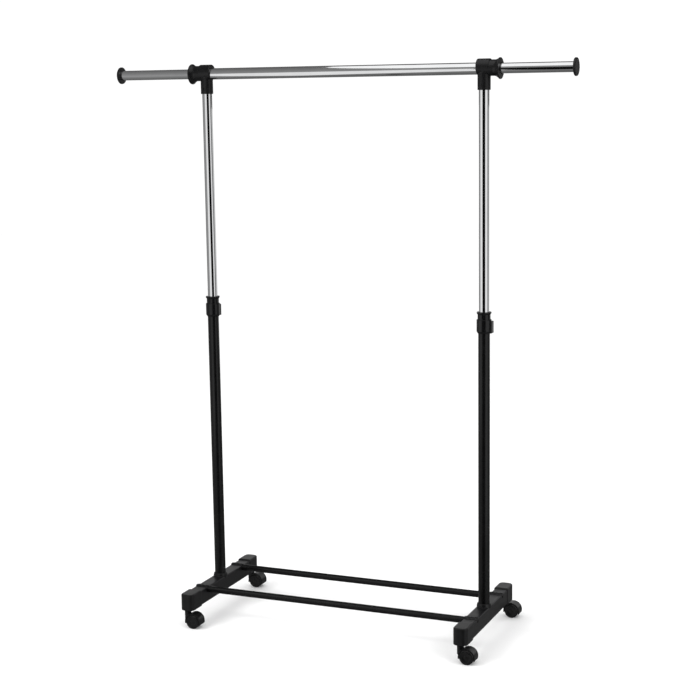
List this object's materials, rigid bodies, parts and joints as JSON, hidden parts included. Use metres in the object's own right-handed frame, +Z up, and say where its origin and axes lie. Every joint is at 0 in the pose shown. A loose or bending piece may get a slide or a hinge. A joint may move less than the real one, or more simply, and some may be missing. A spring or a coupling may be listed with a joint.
{
  "type": "rolling clothes rack",
  "caption": "Rolling clothes rack: black plastic legs on twin-wheel casters, two height-adjustable uprights, chrome hanging rail with a pull-out rod at each end",
  "frame": {"origin": "On the floor, under the middle of the rack's overall box", "axes": "+Z up, +X along the hanging rail to the right, -Y the front"},
  "size_m": [1.3586, 0.445, 1.5975],
  "materials": {
    "plastic_black": "satin",
    "caster_black": "satin",
    "tube_black": "gloss",
    "tube_chrome": "polished",
    "fastener_steel": "satin",
    "nylon_natural": "matte"
  },
  "bodies": {
    "base": {"front_base_bar": "tube_black", "rear_base_bar": "tube_black", "left_leg": "plastic_black", "left_lower_tube": "tube_black", "left_collet": "plastic_black", "left_post_plug": "nylon_natural", "left_post_bolt": "fastener_steel", "front_left_bar_plug": "nylon_natural", "front_left_bar_screw": "fastener_steel", "front_left_caster_stem": "fastener_steel", "rear_left_bar_plug": "nylon_natural", "rear_left_bar_screw": "fastener_steel", "rear_left_caster_stem": "fastener_steel", "right_leg": "plastic_black", "right_lower_tube": "tube_black", "right_collet": "plastic_black", "right_post_plug": "nylon_natural", "right_post_bolt": "fastener_steel", "front_right_bar_plug": "nylon_natural", "front_right_bar_screw": "fastener_steel", "front_right_caster_stem": "fastener_steel", "rear_right_bar_plug": "nylon_natural", "rear_right_bar_screw": "fastener_steel", "rear_right_caster_stem": "fastener_steel"},
    "top_frame": {"main_rail": "tube_chrome", "left_upper_tube": "tube_chrome", "left_post_guide": "nylon_natural", "left_tee": "plastic_black", "left_rail_bush": "plastic_black", "left_tee_screw": "fastener_steel", "right_upper_tube": "tube_chrome", "right_post_guide": "nylon_natural", "right_tee": "plastic_black", "right_rail_bush": "plastic_black", "right_tee_screw": "fastener_steel"},
    "left_rod": {"left_extension_rod": "tube_chrome", "left_rod_guide": "nylon_natural", "left_end_cap": "plastic_black"},
    "right_rod": {"right_extension_rod": "tube_chrome", "right_rod_guide": "nylon_natural", "right_end_cap": "plastic_black"},
    "left_clamp": {"left_clamp_ring": "plastic_black"},
    "right_clamp": {"right_clamp_ring": "plastic_black"},
    "front_left_caster": {"front_left_caster_housing": "caster_black", "front_left_caster_axle": "fastener_steel"},
    "front_left_caster_front_wheel": {"front_left_caster_front_wheel": "caster_black"},
    "front_left_caster_rear_wheel": {"front_left_caster_rear_wheel": "caster_black"},
    "front_right_caster": {"front_right_caster_housing": "caster_black", "front_right_caster_axle": "fastener_steel"},
    "front_right_caster_front_wheel": {"front_right_caster_front_wheel": "caster_black"},
    "front_right_caster_rear_wheel": {"front_right_caster_rear_wheel": "caster_black"},
    "rear_left_caster": {"rear_left_caster_housing": "caster_black", "rear_left_caster_axle": "fastener_steel"},
    "rear_left_caster_front_wheel": {"rear_left_caster_front_wheel": "caster_black"},
    "rear_left_caster_rear_wheel": {"rear_left_caster_rear_wheel": "caster_black"},
    "rear_right_caster": {"rear_right_caster_housing": "caster_black", "rear_right_caster_axle": "fastener_steel"},
    "rear_right_caster_front_wheel": {"rear_right_caster_front_wheel": "caster_black"},
    "rear_right_caster_rear_wheel": {"rear_right_caster_rear_wheel": "caster_black"}
  },
  "joints": [
    {"name": "height_slide", "type": "slide", "parent": "base", "child": "top_frame", "axis": [0, 0, 1], "range_m": [-0.577, 0.07]},
    {"name": "left_rod_slide", "type": "slide", "parent": "top_frame", "child": "left_rod", "axis": [-1, 0, 0], "range_m": [-0.226, 0.056]},
    {"name": "right_rod_slide", "type": "slide", "parent": "top_frame", "child": "right_rod", "axis": [1, 0, 0], "range_m": [-0.197, 0.085]},
    {"name": "left_clamp_turn", "type": "hinge", "parent": "base", "child": "left_clamp", "pos_m": [-0.398, 0, 0.9137], "axis": [0, 0, 1], "range_deg": [0, 90]},
    {"name": "right_clamp_turn", "type": "hinge", "parent": "base", "child": "right_clamp", "pos_m": [0.427, 0, 0.9007], "axis": [0, 0, 1], "range_deg": [0, 90]},
    {"name": "front_left_caster_swivel", "type": "hinge", "parent": "base", "child": "front_left_caster", "pos_m": [-0.398, -0.205, 0.02], "axis": [0, 0, 1], "continuous": true},
    {"name": "front_left_caster_front_roll", "type": "hinge", "parent": "front_left_caster", "child": "front_left_caster_front_wheel", "pos_m": [-0.377, -0.205, 0.02], "axis": [0, 1, 0], "continuous": true},
    {"name": "front_left_caster_rear_roll", "type": "hinge", "parent": "front_left_caster", "child": "front_left_caster_rear_wheel", "pos_m": [-0.377, -0.205, 0.02], "axis": [0, 1, 0], "continuous": true},
    {"name": "front_right_caster_swivel", "type": "hinge", "parent": "base", "child": "front_right_caster", "pos_m": [0.427, -0.205, 0.02], "axis": [0, 0, 1], "continuous": true},
    {"name": "front_right_caster_front_roll", "type": "hinge", "parent": "front_right_caster", "child": "front_right_caster_front_wheel", "pos_m": [0.448, -0.205, 0.02], "axis": [0, 1, 0], "continuous": true},
    {"name": "front_right_caster_rear_roll", "type": "hinge", "parent": "front_right_caster", "child": "front_right_caster_rear_wheel", "pos_m": [0.448, -0.205, 0.02], "axis": [0, 1, 0], "continuous": true},
    {"name": "rear_left_caster_swivel", "type": "hinge", "parent": "base", "child": "rear_left_caster", "pos_m": [-0.398, 0.205, 0.02], "axis": [0, 0, 1], "continuous": true},
    {"name": "rear_left_caster_front_roll", "type": "hinge", "parent": "rear_left_caster", "child": "rear_left_caster_front_wheel", "pos_m": [-0.377, 0.205, 0.02], "axis": [0, 1, 0], "continuous": true},
    {"name": "rear_left_caster_rear_roll", "type": "hinge", "parent": "rear_left_caster", "child": "rear_left_caster_rear_wheel", "pos_m": [-0.377, 0.205, 0.02], "axis": [0, 1, 0], "continuous": true},
    {"name": "rear_right_caster_swivel", "type": "hinge", "parent": "base", "child": "rear_right_caster", "pos_m": [0.427, 0.205, 0.02], "axis": [0, 0, 1], "continuous": true},
    {"name": "rear_right_caster_front_roll", "type": "hinge", "parent": "rear_right_caster", "child": "rear_right_caster_front_wheel", "pos_m": [0.448, 0.205, 0.02], "axis": [0, 1, 0], "continuous": true},
    {"name": "rear_right_caster_rear_roll", "type": "hinge", "parent": "rear_right_caster", "child": "rear_right_caster_rear_wheel", "pos_m": [0.448, 0.205, 0.02], "axis": [0, 1, 0], "continuous": true}
  ]
}
